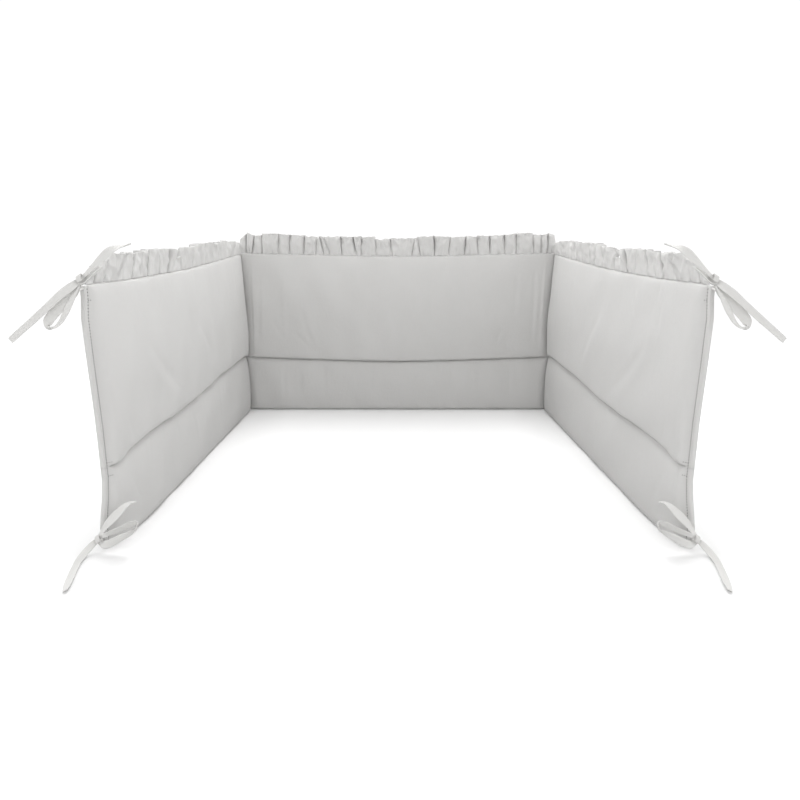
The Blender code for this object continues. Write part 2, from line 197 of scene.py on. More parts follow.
def ringFaces(rings, size, spare=0):
    # quads between neighbouring rings, then at each end quads between the ring's facing points;
    # the map has one spare point round each ring, where it closes
    index = np.arange(rings * (size + spare)).reshape(rings, -1)
    after = np.roll(index, -1, axis=1)[:, :size]
    index = index[:, :size]
    walls = np.stack([index[:-1], after[:-1], after[1:], index[1:]], -1).reshape(-1, 4)
    low = np.arange(size // 2 - 1)
    cap = np.stack([low, size - 1 - low, size - 2 - low, low + 1], -1)
    return np.concatenate([walls, index[0][cap], index[-1][cap[:, ::-1]]])


def ringAngles(size):
    return 2 * pi * (np.arange(size) + 0.5) / size


def ringShell(points, cloth, flip=False):
    # points (rings, size, 3) and map (rings, size + 1, 2) made into faces and corner maps
    rings, size = points.shape[:2]
    faces, corners = ringFaces(rings, size), ringFaces(rings, size, 1)
    if flip:
        faces, corners = faces[:, ::-1], corners[:, ::-1]
    return points.reshape(-1, 3), faces, cloth.reshape(-1, 2)[corners]


def unrolled(ring, along):
    # the map of rings of points: the way along the piece, and the way round each ring
    step = np.linalg.norm(np.diff(ring, axis=1, append=ring[:, :1]), axis=-1)
    around = np.concatenate([np.zeros_like(step[:, :1]), np.cumsum(step, axis=1)], axis=1)
    return np.stack([np.broadcast_to(along[:, None], around.shape), around], -1)


def unit(vectors):
    return vectors / np.linalg.norm(vectors, axis=-1, keepdims=True)


def travelled(points):
    # the way from the first point to each
    return np.concatenate([[0], np.cumsum(np.linalg.norm(np.diff(points, axis=0), axis=-1))])


def joinShells(shells):
    points, faces, cloth = zip(*shells)
    starts = np.cumsum([0] + [len(part) for part in points])
    faces = [part + start for part, start in zip(faces, starts)]
    return [np.concatenate(parts) for parts in (points, faces, cloth)]


def addObject(name, data):
    made = bpy.data.objects.new(name, data)
    bpy.context.scene.collection.objects.link(made)
    return made


def addPiece(name, shell, material, slot, **marks):
    # marks are numbers for each point: seam, where gathers hang, and shade, painted shade that
    #     # darkens the colour in a fold, a seam or round a knot
    points, faces, cloth = shell
    mesh = bpy.data.meshes.new(name)
    mesh.vertices.add(len(points))
    mesh.vertices.foreach_set("co", points.astype(np.float32).ravel())
    mesh.loops.add(faces.size)
    mesh.loops.foreach_set("vertex_index", faces.astype(np.int32).ravel())
    mesh.polygons.add(len(faces))
    mesh.polygons.foreach_set("loop_start", np.arange(0, faces.size, 4, dtype=np.int32))
    mesh.update(calc_edges=True)
    mesh.uv_layers.new(name="cloth").data.foreach_set("uv", cloth.astype(np.float32).ravel())
    for mark, values in marks.items():
        layer = mesh.attributes.new(mark, "FLOAT", "POINT")
        layer.data.foreach_set("value", values.astype(np.float32).ravel())
    mesh.shade_smooth()
    mesh.materials.append(material)
    piece = addObject(name, mesh)
    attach(piece, "root")
    return piece


# Curves through tables

def cubicRead(at, rows, slopes, wanted):
    # a cubic between each two rows, with the slopes given at the rows
    span = np.clip(np.searchsorted(at, wanted, side="right") - 1, 0, len(at) - 2)
    width, past = at[span + 1] - at[span], wanted - at[span]
    if rows.ndim > 1:
        width, past = width[..., None], past[..., None]
    t = past / width
    return (
        (1 + 2 * t) * (1 - t) ** 2 * rows[span]
        + t * (1 - t) ** 2 * width * slopes[span]
        + t * t * (3 - 2 * t) * rows[span + 1]
        + t * t * (t - 1) * width * slopes[span + 1]
    )


def smoothRead(at, rows, wanted):
    # with the slope that the neighbours of each row give
    return cubicRead(at, rows, np.gradient(rows, at, axis=0), wanted)


def calmRead(table, wanted):
    # through pairs of place and value, with slopes that never lead past a row's value
    at, value = table.T
    step = np.diff(value) / np.diff(at)
    product = step[:-1] * step[1:]
    inner = np.where(product > 0, 2 * product / np.where(product > 0, step[:-1] + step[1:], 1), 0)
    slopes = np.concatenate([step[:1], inner, step[-1:]])
    return cubicRead(at, value, slopes, np.clip(wanted, at[0], at[-1]))


def gradedLine(length, fineStart, fineEnd, coarse, growth=0.22):
    # places from 0 to length whose spacing grows from both ends, up to coarse
    dense = np.linspace(0, length, 20001)
    spacing = np.minimum(fineStart + growth * dense, fineEnd + growth * (length - dense))
    count = np.concatenate([[0], np.cumsum(1 / np.minimum(spacing, coarse)[1:])])
    count *= length / 20000
    return np.interp(np.linspace(0, count[-1], ceil(count[-1]) + 1), count, dense)


def waves(x, y, sizes, strength, seed, across=1.0):
    # sum of sines in seeded directions, whose lengths run from the first size to the second
    rng = np.random.default_rng(seed)
    total = np.zeros(np.broadcast(x, y).shape)
    for _ in range(14):
        size = np.exp(rng.uniform(np.log(sizes[0]), np.log(sizes[1])))
        turn, phase = rng.uniform(0, 2 * pi, 2)
        total += np.sin(2 * pi * (x * cos(turn) + across * y * sin(turn)) / size + phase)
    return strength * total / 2.6


def fading(away, size, reach):
    # dies out away from a line
    return size * np.exp(-away / reach)


# Padded panels

panelPlan = {
    "backLength": 0.600,
    "sideLength": 0.600,
    "splay": radians(3.2),
    "edgeHalf": 0.0025,  # half the thickness where a border is sewn
    "borderRound": 0.0020,
    "frontRound": 0.0012,  # at the free front end
    "topRound": 0.0009,  # along the top, under the frill
    "endGrowth": 0.07,  # how fast the grid widens away from the ends
    # painted shade in the sewn channel and in the corner seams: share, reach
    "channelShade": (0.14, 0.0014),
    "cornerShade": (0.08, 0.0025),
    "mitreReach": 0.022,
    "seamGap": 0.0003,
    "flareReach": 0.110,
    "flange": (0.0100, 0.0013),  # along the front end: its reach, and how far it leans outwards
    "alongStep": 0.0026,
    "upStep": 0.0032,
    "borderStep": 0.12,  # of the borders' rounding
    "channelStep": 0.0004,
    "strips": (0.1, 0.2),  # rough heights under and over the channel, for the grid
    # gathers from the top seam, over and under the channel, and from the foot: pitch, depth, reach
    "gathers": ((0.009, 0.00055, 0.016), (0.010, 0.0003, 0.010), (0.008, 0.0007, 0.018),
                (0.010, 0.0004, 0.012)),
    # fine puckers from the same four: share, reach
    "puckers": ((0.8, 0.012), (0.25, 0.014), (1, 0.014), (0.5, 0.010)),
    "puckerStart": 0.001,
    "topstitch": (0.0062, 0.0011, 0.0012),  # from the front end, width, depth
    "swell": ((0.045, 0.16), 0.0006),  # slow unevenness: lengths, depth
    # the relief fades towards the borders, the channel and the front end
    "calmBorder": 0.006,
    "calmChannel": 0.0022,
    "calmFront": (0.008, 0.020),
    "thinnest": 0.0003,
}
mitre = (pi / 2 + panelPlan["splay"]) / 2  # half the angle between two panels

# Half the thickness across each strip, at shares of its height
lowerStrip = np.array([
    (0, 6), (0.02, 8.6), (0.06, 10.4), (0.14, 11.5), (0.32, 12.3), (0.56, 12.2), (0.72, 11.5),
    (0.83, 10.3), (0.9, 9), (0.945, 7.4), (0.972, 5.5), (0.988, 3.4), (0.995, 2), (1, 1.2),
]) / (1, 1000)
upperStrip = np.array([
    (0, 1.2), (0.002, 4.2), (0.005, 7.4), (0.011, 10.4), (0.026, 12.5), (0.07, 13.5), (0.22, 14.1),
    (0.42, 13.7), (0.6, 12), (0.78, 9.2), (0.9, 7), (0.965, 5.4), (0.99, 4), (1, 2.5),
]) / (1, 1000)
# How full the padding is at distances from a corner seam, and from a free front end
cornerFill = np.array([
    (0, 0), (1.2, 0.2), (3, 0.4), (6, 0.58), (11, 0.75), (18, 0.88), (28, 0.96), (42, 1),
]) / (1000, 1)
frontFill = np.array([
    (0, 0), (7, 0), (8.5, 0.1), (10.5, 0.38), (13, 0.66), (16, 0.82), (22, 0.93), (32, 0.98),
    (45, 1),
]) / (1000, 1)
# Free front end: height, reach forward, bend outwards
endShape = np.array([
    (0, 3, 9), (26, 3, 9), (42, 4, 6), (60, 3, 3), (85, 1, 1), (103, 1, 1), (150, 2, 0),
    (220, 3, 1), (270, 4, 1), (293, 1, 0), (305, 1, 0),
]) / 1000
# Share of the length, height of the top seam, height of the channel
backSeams = np.array([
    (0, 306.5, 106.5), (0.2, 303.5, 102.2), (0.5, 300.5, 97.7), (0.8, 303.5, 102.3),
    (1, 306.5, 106.5),
]) / (1, 1000, 1000)
sideSeams = np.array([
    (0, 305, 106.5), (0.05, 304.2, 112.2), (0.12, 303.2, 114), (0.2, 302, 112.9),
    (0.32, 300.5, 112.2), (0.42, 299.4, 109), (0.5, 299, 105.5), (0.6, 299.4, 104.8),
    (0.67, 300, 104.4), (0.77, 301, 106.6), (0.84, 302, 106.8), (0.9, 303.5, 105),
    (0.93, 304.4, 102.9), (0.955, 305, 98.6), (1, 305, 99),
]) / (1, 1000, 1000)
# Main creases of the inner faces: start along and up, end along and up, bow, width, depth
backCreases = np.array([
    (18, 294, 13, 112, 2, 3.4, 0.7), (38, 290, 30, 135, 1, 3.6, 0.6),
    (75, 262, 76, 146, -2, 4.8, 0.5), (112, 225, 139, 118, -4, 5.2, 0.7),
    (57, 184, 77, 145, 0, 4.4, 0.5), (99, 156, 134, 118, 2, 4.4, 0.5),
    (529, 268, 523, 186, 1, 4.6, 0.8), (479, 226, 478, 182, 0, 5, 0.4),
    (506, 170, 488, 131, 0, 4.6, 0.5), (561, 279, 560, 140, 1, 4, 0.8),
    (577, 294, 573, 118, -1, 3.6, 0.7), (433, 118, 456, 137, 0, 4.4, 0.4),
    (300, 290, 292, 245, 1, 6, 0.4), (205, 296, 212, 250, 1, 5.8, 0.4),
    (390, 296, 384, 255, 1, 6, 0.4), (77, 90, 77, 20, 0, 3.6, 0.6), (109, 92, 108, 30, 0, 4.2, 0.5),
    (155, 92, 156, 25, 0, 3.8, 0.5), (250, 90, 247, 40, 0, 5, 0.4), (445, 92, 447, 35, 0, 4.5, 0.5),
    (520, 94, 522, 30, 0, 4, 0.6),
]) / 1000
sideCreases = np.array([
    (478, 222, 352, 122, 6, 10, 1), (497, 272, 500, 238, 1, 5, 0.8),
    (417, 286, 420, 250, -4, 5.5, 0.8), (481, 298, 484, 276, 1, 4, 0.6),
    (391, 297, 395, 276, 1, 4, 0.6), (367, 298, 371, 277, 0, 4, 0.6),
    (269, 299, 274, 276, 1, 4.5, 0.6), (300, 235, 230, 140, -4, 9, 0.9),
    (150, 285, 142, 150, 3, 7, 0.5), (70, 290, 74, 130, -2, 5.5, 0.6),
    (35, 295, 38, 120, 1, 4, 0.7), (555, 150, 540, 108, 1, 5, 0.6), (560, 90, 530, 30, 2, 6, 0.6),
    (330, 94, 318, 35, 0, 6, 0.5), (200, 96, 205, 30, 0, 5.5, 0.5),
]) / 1000


def fromSeams(foot, top, channel, far=9):
    # distances from the top seam, from over and under the channel, and from the foot; far on the
    # channel's other side
    return top, np.where(channel > 0, channel, far), np.where(channel < 0, -channel, far), foot


class PanelPlane:
    # the middle plane of a padded panel, with its sewn lines and its two faces
    def __init__(self, name, corner, along, across, freeEnd, seed):
        self.name, self.freeEnd, self.seed = name, freeEnd, seed
        self.corner, self.along, self.across = map(np.array, (corner, along, across))
        self.length = panelPlan["sideLength" if freeEnd else "backLength"]
        self.creases = sideCreases if freeEnd else backCreases
        self.rightHanded = along[0] * across[1] - along[1] * across[0] > 0

    def seam(self, along, column):
        rows = sideSeams if self.freeEnd else backSeams
        return smoothRead(rows[:, 0], rows[:, column], along / self.length)

    def freeShape(self, along, up):
        # the front end's bend, growing with the square of the distance into its last stretch, and
        # the flange's own lean outwards
        if not self.freeEnd:
            return np.zeros_like(up), np.zeros_like(up)
        reach = panelPlan["flareReach"]
        share = np.clip((along - self.length + reach) / reach, 0, 1) ** 2
        height, *ways = endShape.T
        forward, outward = (share * np.interp(up, height, way) for way in ways)
        reach, lean = panelPlan["flange"]
        return forward, outward + lean * np.clip(1 - (self.length - along) / reach, 0, 1) ** 1.5

    def place(self, along, across, up):
        plan = self.corner + along[..., None] * self.along + across[..., None] * self.across
        return np.concatenate([plan, up[..., None]], axis=-1)

    def borders(self, along, up):
        # distances to the start, end, foot, top seam and channel
        top, channel = self.seam(along, 1), self.seam(along, 2)
        return along, self.length - along, up, top - up, up - channel

    def relief(self, along, up, side):
        # soft troughs: the listed creases, gathers hanging from the seams, and slow unevenness
        start, end, foot, top, channel = self.borders(along, up)
        depth = np.zeros_like(up)
        for a0, u0, a1, u1, bow, width, deep in self.creases if side > 0 else []:
            reach = np.hypot(a1 - a0, u1 - u0)
            ahead, off = (a1 - a0) / reach, (u1 - u0) / reach
            share = ((along - a0) * ahead + (up - u0) * off) / reach
            away = (along - a0) * -off + (up - u0) * ahead - 4 * bow * share * (1 - share)
            fade = np.sin(pi * np.clip(share, 0, 1)) ** 0.6
            depth -= deep * fade * (np.exp(-((away / width) ** 2))
                                    - 0.45 * np.exp(-((away / width - 1.6) ** 2)))
        seams = zip(fromSeams(foot, top, channel), panelPlan["gathers"])
        for number, (away, gather) in enumerate(seams):
            depth -= gathers(along, away, self.length, *gather,
                             self.seed * 10 + number + 5 * (side < 0))
        depth += waves(along, up, *panelPlan["swell"], self.seed + 3 * (side < 0), 0.55)
        border = np.minimum(np.minimum(start, end), np.minimum(foot, top))
        calm = 1 - fading(border, 1, panelPlan["calmBorder"])
        calm *= 1 - fading(np.abs(channel), 1, panelPlan["calmChannel"])
        if self.freeEnd:
            calm *= np.interp(end, panelPlan["calmFront"], (0, 1))
        return depth * calm

    def half(self, along, up, side):
        # half the thickness: the strips' curves by how full the padding is, the topstitching's
        # groove, the relief of that side and the rounded borders
        start, end, foot, top, channel = self.borders(along, up)
        level = self.seam(along, 2)
        below = calmRead(lowerStrip, up / level)
        above = calmRead(upperStrip, channel / (top + channel))
        fill = calmRead(cornerFill, start)
        fill *= calmRead(frontFill if self.freeEnd else cornerFill, end)
        edge = panelPlan["edgeHalf"]
        half = edge + (np.where(channel < 0, below, above) - edge) * fill
        if self.freeEnd:
            inset, width, depth = panelPlan["topstitch"]
            half -= depth * np.exp(-(((end - inset) / width) ** 2))
        half += self.relief(along, up, side)
        low, high = panelPlan["borderRound"], panelPlan["topRound"]
        front = panelPlan["frontRound"] if self.freeEnd else low
        for away, radius in ((start, low), (end, front), (foot, low), (top, high)):
            near = 1 - np.clip(away / radius, 0, 1)
            half -= radius * (1 - np.sqrt(np.clip(1 - near**2, 0, 1)))
        return np.maximum(half, panelPlan["thinnest"])

    def face(self, along, up, side, lift=0.0):
        # points of one face, mitred towards the corner seams
        half = self.half(along, up, side)
        forward, outward = self.freeShape(along, up)
        reach = panelPlan["mitreReach"]
        inset = side * half / tan(mitre) + panelPlan["seamGap"] / 2 / sin(mitre)
        nearStart = np.clip(1 - along / reach, 0, 1)
        nearEnd = np.clip(1 - (self.length - along) / reach, 0, 1) * (not self.freeEnd)
        mitred = along + forward + inset * nearStart - inset * nearEnd
        return self.place(mitred, side * (half + lift) - outward, up)


def gathers(along, away, length, pitch, deep, reach, seed):
    # gathers at jittered places: narrow troughs that start at a seam and die out away from it
    rng = np.random.default_rng(seed)
    count = int(length / pitch)
    middle = (np.arange(count) + rng.uniform(0.1, 0.9, count)) * length / count
    width = rng.uniform(0.22, 0.42, count) * pitch
    depth = deep * rng.uniform(0.2, 1.0, count) ** 1.5
    fade = reach * rng.uniform(0.4, 1.8, count)
    slant = rng.normal(0, 0.18, count)
    total = np.zeros_like(away)
    for m, w, d, f, s in zip(middle, width, depth, fade, slant):
        total += d * np.exp(-(((along - m - s * away) / w) ** 2) - away / f)
    return total * (1 - np.exp(-away / 0.0015))


def paddedPanel(panel):
    # front face up, back face down: one ring at each place along
    plan = panelPlan
    fine, sewnStep = plan["borderRound"] * plan["borderStep"], plan["channelStep"]
    along = gradedLine(panel.length, fine, fine, plan["alongStep"], plan["endGrowth"])
    lower, upper = plan["strips"]
    low = gradedLine(lower, fine, sewnStep, plan["upStep"])[:-1] / lower
    high = gradedLine(upper, sewnStep, fine, plan["upStep"]) / upper
    channel, top = panel.seam(along, 2), panel.seam(along, 1)
    up = np.concatenate([np.outer(low, channel), channel + np.outer(high, top - channel)]).T
    wide = np.broadcast_to(along[:, None], up.shape)
    points = np.concatenate([panel.face(wide, up, 1), panel.face(wide, up, -1)[:, ::-1]], axis=1)
    start, end, foot, above, sewn = panel.borders(wide, up)
    seams = zip(fromSeams(foot, above, sewn), plan["puckers"])
    seam = sum(fading(away, *pucker) for away, pucker in seams)
    seam *= 1 - fading(np.minimum(above, np.abs(sewn)), 1, plan["puckerStart"])
    # painted shade along the channel and at the corner seams
    shade = fading(np.abs(sewn), *plan["channelShade"])
    for away in (start,) if panel.freeEnd else (start, end):
        shade += fading(away, *plan["cornerShade"])
    seam, shade = (np.concatenate([mark, mark[:, ::-1]], axis=1) for mark in (seam, shade))
    around = np.concatenate([up, 2 * top[:, None] - up[:, ::-1], 2 * top[:, None]], axis=1)
    cloth = np.stack([np.broadcast_to(along[:, None], around.shape), around], -1)
    shell = ringShell(points, cloth, flip=not panel.rightHanded)
    name = "padded" + panel.name.capitalize() + "Panel"
    piece = addPiece(name, shell, panelCotton, "panel_cotton", seam=seam, shade=shade)
    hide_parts(panel.name + "_panel")
    return piece


halfBack = panelPlan["backLength"] / 2
legX, legY = sin(panelPlan["splay"]), cos(panelPlan["splay"])
planes = (
    PanelPlane("back", (-halfBack, 0), (1, 0), (0, -1), False, 11),
    PanelPlane("left", (-halfBack, 0), (-legX, -legY), (legY, -legX), True, 23),
    PanelPlane("right", (halfBack, 0), (legX, -legY), (-legY, -legX), True, 37),
)
panelPieces = {plane.name: paddedPanel(plane) for plane in planes}
print("panels padded")


# Gathered frills

frillPlan = {
    "cloth": 0.0014,  # two layers of cotton
    "seamLift": 0.00035,
    "footInward": 0.0009,  # its foot stands on the inner side of the seam
    "valley": 0.0036,  # how far it falls outwards between folds
    "footThrow": 0.20,
    "tuckReach": 0.0016,  # from a tuck's middle to its turned edges
    "lapHeight": 0.0027,
    "crease": (0.0043, 0.0022),  # depth, reach
    "lipReach": 0.0034,
    "lipHollow": 0.7,  # of the ridge, beside it
    "hollowAway": 0.0085,
    "hollowReach": 0.0042,
    "footShare": 0.40,  # of a tuck, at the foot
    # unevenness: lengths, depth
    "gathers": ((0.0034, 0.0070), 0.0008),
    "crumple": ((0.0050, 0.016), 0.0006),
    "ridges": ((0.010, 0.028), 0.0015),
    "ragged": ((0.005, 0.018), 0.0004),
    "spots": ((0.008, 0.03), 1.0),
    "columnStep": 0.0012,
    "columnsLeast": 18,  # in one fold
    "crowding": 0.11,  # of the columns towards a fold's ends
    "rowSteps": (0.04, 0.02, 0.09),  # at the foot, at the edge and between, of the height
    "edgeTurns": (18, 40, 65, 115, 140, 162),  # degrees round the top edge
    "puckers": (0.9, 0.010),  # at the foot: share, reach
    "puckersLeast": 0.12,
    # painted shade in a crease and between the gathers at the foot: share, reach
    "creaseShade": (0.22, 0.0014),
    "footShade": (0.18, 0.0012),
    "shadeMost": 0.55,
}
# Folds: start along at the foot and at the top, throw inwards, height at the start and at the end,
# overlap at the start (positive where the fold before it lies on top), and the ridge beside that
# crease (negative where it is on the side before it). The last row ends the frill.
backFolds = np.array([
    (-2, 3, 1, 24.4, 37.4, 0, 0), (13, 16, 4, 37.5, 32.5, -1.2, 0), (23, 29, 5, 31.5, 34.5, 2, 0),
    (43, 45, 8, 36.6, 37.6, -3.2, 1), (73, 76, 7, 36.7, 35.7, 3.4, 0),
    (93, 96, 7, 35.8, 34.8, 3.4, 0), (123, 125, 6, 33.9, 32.9, -1.6, 0),
    (144, 147, 5, 33, 33, 3.4, 0), (160, 152, 5, 33.1, 34.1, 1.4, 0),
    (173, 161, 7, 33.1, 35.1, -3, 0), (194, 192, 5, 35.2, 34.2, 1.2, 0),
    (223, 217, 6, 35.4, 36.4, -1.4, 1), (230, 231, 8, 34.4, 36.4, 3.6, 0),
    (259, 257, 4, 29.5, 32.5, 3.4, -1), (290, 287, 6, 32.7, 32.7, -1.6, 0),
    (326, 333, 6, 32.6, 34.6, 2.4, 0), (345, 338, 8, 35.5, 36.5, -3.4, 0),
    (370, 368, 6, 36.4, 34.4, 1.4, 0), (395, 400, 7, 33.3, 34.3, 3, 0),
    (428, 430, 6, 35.1, 33.1, -1.2, 0), (454, 451, 6, 35, 34, -3.4, 0),
    (476, 475, 5, 34.9, 34.9, -1.4, 0), (504, 504, 6, 35.8, 37.8, -3.4, 0),
    (526, 525, 8, 38.7, 37.7, -3.2, 1), (558, 554, 5, 34.6, 34.6, 3.4, 0),
    (572, 570, 4, 32.5, 36.5, 2, 0), (586, 585, 1, 36.5, 32.5, -1.2, 0),
    (602, 597, 0, 32.4, 32.4, 0, 0),
]) / 1000
sideFolds = np.array([
    (5, 2, 5, 13, 25, 0, 0), (44, 26, 6, 24, 28, -1.2, 2), (92, 84, 5, 29, 31, 3.4, 0),
    (137, 133, 5, 28, 29, 3.4, -3), (168, 163, 7, 30, 33, -1.4, 3), (207, 200, 5, 31, 33, 1.2, 4),
    (232, 228, 7, 34, 33, -2, 5), (270, 250, 6, 30, 32, -2, 3), (311, 309, 2, 18, 18, 2, 0),
    (350, 334, 9, 29, 31, -2, 0), (366, 350, 4, 31, 33, 6, -4), (396, 388, 5, 33, 33, 1.2, 2),
    (434, 424, 4, 33, 32, 6, -7), (461, 449, 4, 32, 29, -3.4, 5), (482, 463, 3, 29, 32, 1.4, 3),
    (522, 488, 7, 32, 31, -3.4, 4), (554, 538, 5, 27, 20, 1.4, 1), (577, 566, 2, 15, 9, 1, 0),
    (592, 586, 0, 6, 6, 0, 0),
]) / 1000


def foldColumns(widths, plan):
    # columns number the folds, and crowd towards both ends of each, where the cloth turns
    columns = []
    for number, width in enumerate(widths):
        count = max(plan["columnsLeast"], int(width / plan["columnStep"]))
        share = np.linspace(0, 1, count, endpoint=False)
        columns.append(number + share - plan["crowding"] * np.sin(2 * pi * share))
    return np.concatenate(columns + [[len(widths)]])


def frillSheet(panel, folds, plan, seed):
    # middle surface of the gathered strip: rows z run from foot to edge, columns t along the folds
    foot, top, throw, low, high, over, lip = folds.T
    last = len(folds) - 1
    t = foldColumns(np.diff(foot + top) / 2, plan)
    fold = np.minimum(t.astype(int), last - 1)
    q = t - fold
    z = gradedLine(1.0, *plan["rowSteps"])[:, None]
    line = foot + (top - foot) * z
    begin, finish = line[:, fold], line[:, fold + 1]
    base = begin + q * (finish - begin)
    reach = np.minimum(plan["tuckReach"], 0.22 * (finish - begin))

    # each fold is a flat-topped lobe; at a tuck the cloth runs back under its neighbour
    lobe = np.where(t < 0.5, 1, 1 - (2 * q - 1) ** 4)
    across = (throw[fold] + plan["valley"]) * lobe - plan["valley"]
    across = across * (plan["footThrow"] + (1 - plan["footThrow"]) * z**0.8)
    edges = np.concatenate([low[:1], (low[1:-1] + high[:-2]) / 2, high[-2:-1]])
    height = low[fold] + (high - low)[fold] * q + 0 * z
    shift, tucks, shade = np.zeros((3, *base.shape))
    sides = (fold, base - begin, low[fold]), (fold + 1, base - finish, high[fold])
    for number, away, own in sides:
        off = np.abs(away)
        inner = (number > 0) & (number < last)
        swing = -away / reach * np.exp(0.5 - (away / reach) ** 2 / 2)
        shift += swing * np.abs(over[number]) / 2 * inner
        tucks += swing * np.sign(over[number]) * plan["lapHeight"] * inner
        tucks -= fading(off, *plan["crease"]) * inner
        ridge = np.maximum(np.where(number == fold, lip[number], -lip[number]), 0)
        hollow = np.exp(-(((off - plan["hollowAway"]) / plan["hollowReach"]) ** 2))
        beside = fading(off, 1, plan["lipReach"]) - plan["lipHollow"] * hollow
        tucks += ridge * beside * z
        height += (edges[number] - own) * np.exp(-((away / (0.6 * reach)) ** 2))
        # painted shade in the creases
        shade += fading(off, *plan["creaseShade"]) * (0.4 + 0.6 * z) * inner
    share = plan["footShare"] + (1 - plan["footShare"]) * z
    along = base + shift * share
    across += tucks * share + plan["footInward"] * (1 - z)

    # fine gathers from the sewn foot, and crumpled cotton above
    rise = z * height
    across += waves(base, rise * 0.25, *plan["gathers"], seed, 0.3) * np.exp(-z / 0.4)
    crumple = waves(base, rise, *plan["crumple"], seed + 1, 0.5)
    ridges = np.abs(waves(base, rise, *plan["ridges"], seed + 2, 0.45))
    across += (crumple + plan["ridges"][1] / 2 - ridges) * np.sqrt(z)
    ragged = waves(base, rise * 0, *plan["ragged"], seed + 3)
    spots = np.clip(waves(base, rise * 0, *plan["spots"], seed + 4), 0, 1)
    # painted shade between the gathers at the foot
    shade += fading(rise, *plan["footShade"]) * spots
    up = panel.seam(np.clip(base, 0, panel.length), 1) + plan["seamLift"] + z * (height + ragged)
    return along, across, up, rise, np.clip(shade, 0, plan["shadeMost"])


def frill(panel, folds, plan, seed):
    # the sheet's middle surface, given its thickness along its own normals and a rounded top edge
    along, across, up, rise, shade = frillSheet(panel, folds, plan, seed)
    middle = panel.place(along, across, up).transpose(1, 0, 2)
    tangent = np.gradient(middle, axis=0)
    upward = np.gradient(middle, axis=1)
    normal = unit(np.cross(upward, tangent))
    normal *= np.sign((normal[:, :, :2] @ panel.across).mean())  # towards the inside of the U
    upward = unit(upward)
    half = plan["cloth"] / 2
    turn = np.radians(plan["edgeTurns"])[:, None]
    cap = middle[:, -1:] + half * (np.cos(turn) * normal[:, -1:] + np.sin(turn) * upward[:, -1:])
    ring = np.concatenate([middle + half * normal, cap, (middle - half * normal)[:, ::-1]], axis=1)
    edge = np.repeat(shade.T[:, -1:], len(turn), axis=1)
    shade = np.concatenate([shade.T, edge, shade.T[:, ::-1]], axis=1)
    ring[..., 2] = np.maximum(ring[..., 2], middle[:, :1, 2])
    travel = travelled(middle[:, -1])
    shell = ringShell(ring, unrolled(ring, travel), flip=not panel.rightHanded)
    near = fading(ring[..., 2] - ring[:, :1, 2], *plan["puckers"]) + plan["puckersLeast"]
    piece = addPiece(panel.name + "Frill", shell, ruffleCotton, "ruffle_cotton", seam=near,
                     shade=shade)
    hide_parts(panel.name + "_ruffle")


for plane, seed in zip(planes, (101, 211, 307)):
    frill(plane, sideFolds if plane.freeEnd else backFolds, frillPlan, seed)
print("frills gathered")


# Fabric ties of the left front end, mirrored for the right one

tiePlan = {
    # flattened tubes: width, thickness, hollow of their section, share drawn in beside the knot
    "tail": (0.0095, 0.0015, 0.0006, 0.18),
    "loop": (0.0095, 0.00135, 0.0004, 0.18),
    "root": (0.0048, 0.0022, 0.0003, 0),
    "strand": (0.0058, 0.0012, 0.0002, 0),
    "pinchReach": 0.008,
    "pinchSwell": 0.9,
    # slow unevenness of the width, twice, the thickness and the hollow: share, pitch
    "uneven": ((0.035, 0.021), (0.02, 0.0075), (0.25, 0.013), (0.5, 0.017)),
    "squareness": (0.55, 0.75),
    # an open end is narrower and flatter, and gapes: size, reach
    "endTaper": (0.16, 0.0020),
    "endFlat": (0.45, 0.0060),
    "endGape": (0.0002, 0.005),
    # the inside wall of an open end: how far back, shares of the width and of the thickness
    "mouth": ((0, 0.90, 0.62), (0.0006, 0.86, 0.55), (0.006, 0.82, 0.40)),
    "rootLength": 0.004,  # straight out of the front seam
    "rootGap": 0.0003,
    "step": 0.0010,
    "sectors": 24,
    "knotHalf": (0.0032, 0.0032, 0.0045),
    "knotTurn": radians(40),
    "lump": 0.86,  # of the knot, under its wraps
    # wraps round the knot: width, tilt, sweep, lift
    "wraps": ((0.0060, 0.12, 7.0, 0.0000), (0.0040, -0.45, 5.8, -0.0009)),
    "wrap": (0.0012, -0.0003, 0),  # thickness, hollow, share drawn in
    "wrapGrowth": 0.0008,
    "wrapSway": 0.0012,
    "wrapPoints": 37,
    # painted shade round the knot
    "knotShade": (0.22, 0.0055, 0.0016),  # share, distance from the knot's middle, reach
    "wrapShade": 0.3,  # of that, on the knot itself
    "floorGap": 0.0003,
}
# Rows: the middle of the strip, its twist in degrees from lying square to facing, and the share
# of its width that it is drawn in to
topRoot = 0.302  # height on the front seam
topKnot = (-0.3288, -0.6125, 0.3127)
topFacing = (-0.44, 0.88, -0.12)
topLongTail = [
    (-328.1, -612, 312.9, 20, 0.6), (-333.5, -614, 309.1, 18, 0.8), (-346.9, -615, 300.2, 16, 0.88),
    (-364.8, -615, 285.7, 16, 0.84), (-383.4, -614, 270.7, 16, 0.8),
    (-397.7, -613.5, 259.5, 18, 0.77), (-411.1, -613, 248.8, 22, 0.74),
]
topShortTail = [
    (-328.6, -613.5, 312.6, -25, 0.45), (-323.3, -613.2, 317.7, -20, 0.42),
    (-313.7, -612.5, 327, -14, 0.5), (-306.2, -611, 333.7, -10, 0.8),
    (-298.9, -609, 340.4, -18, 0.95), (-293.1, -607, 344.3, -42, 0.9),
    (-289.1, -605, 345.7, -62, 0.8), (-284.4, -602, 347.1, -76, 0.6),
    (-278.4, -599, 349.1, -84, 0.4),
]
